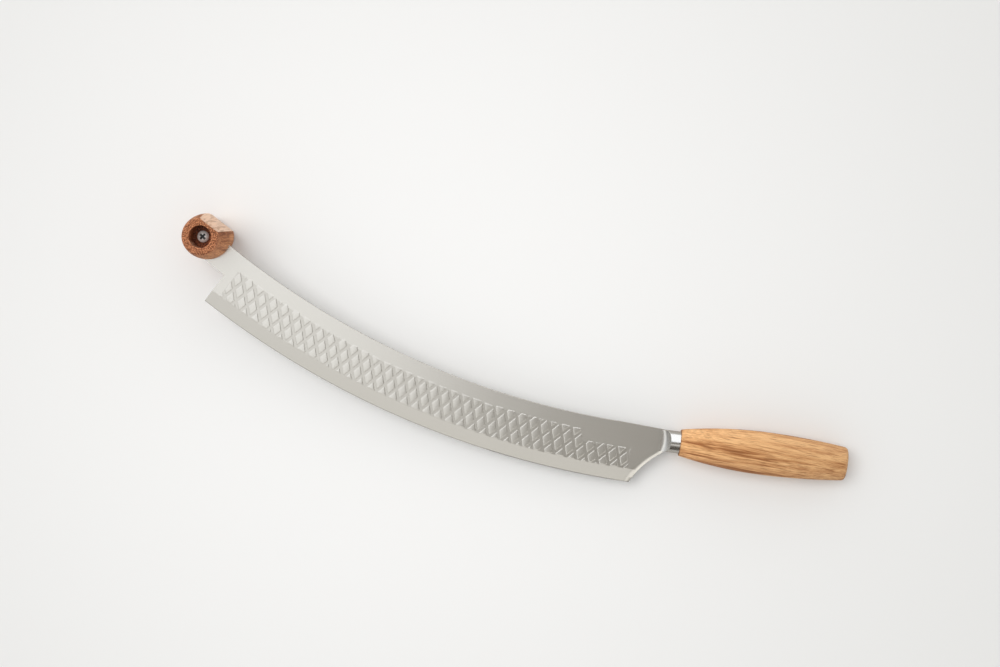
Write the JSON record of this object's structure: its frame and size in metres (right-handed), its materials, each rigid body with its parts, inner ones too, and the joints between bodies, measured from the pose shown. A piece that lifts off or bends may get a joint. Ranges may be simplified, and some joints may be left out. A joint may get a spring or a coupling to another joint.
{
  "type": "rocking pizza knife",
  "caption": "Two-handed rocking pizza knife: long curved steel blade with diamond relief and ground edge, oak handle on a polished bolster and an oak grip across the tip.",
  "frame": {"origin": "under the middle of the knife's outline, on the plane of the knob's far end face", "axes": "+X along the handle's axis from the knob towards the butt, +Y from the cutting edge towards the blade's back, +Z square to the blade's faces, towards the screw's side of the knob"},
  "size_m": [0.4726, 0.148, 0.052],
  "materials": {
    "blade_steel": "satin stainless steel, finely brushed along the blade",
    "bolster_steel": "polished stainless steel",
    "resin": "cured adhesive, hidden in the handle",
    "handle_oak": "oiled oak, satin, grain along the handle",
    "knob_oak": "oiled oak, satin, grain along the knob, dark end grain",
    "fastener_steel": "plain zinc-plated steel"
  },
  "bodies": {
    "root": {"blade": "blade_steel", "bolster": "bolster_steel", "tang_resin": "resin", "handle": "handle_oak", "knob_front_half": "knob_oak", "knob_back_half": "knob_oak", "knob_screw": "fastener_steel", "knob_nut": "fastener_steel"}
  },
  "joints": []
}
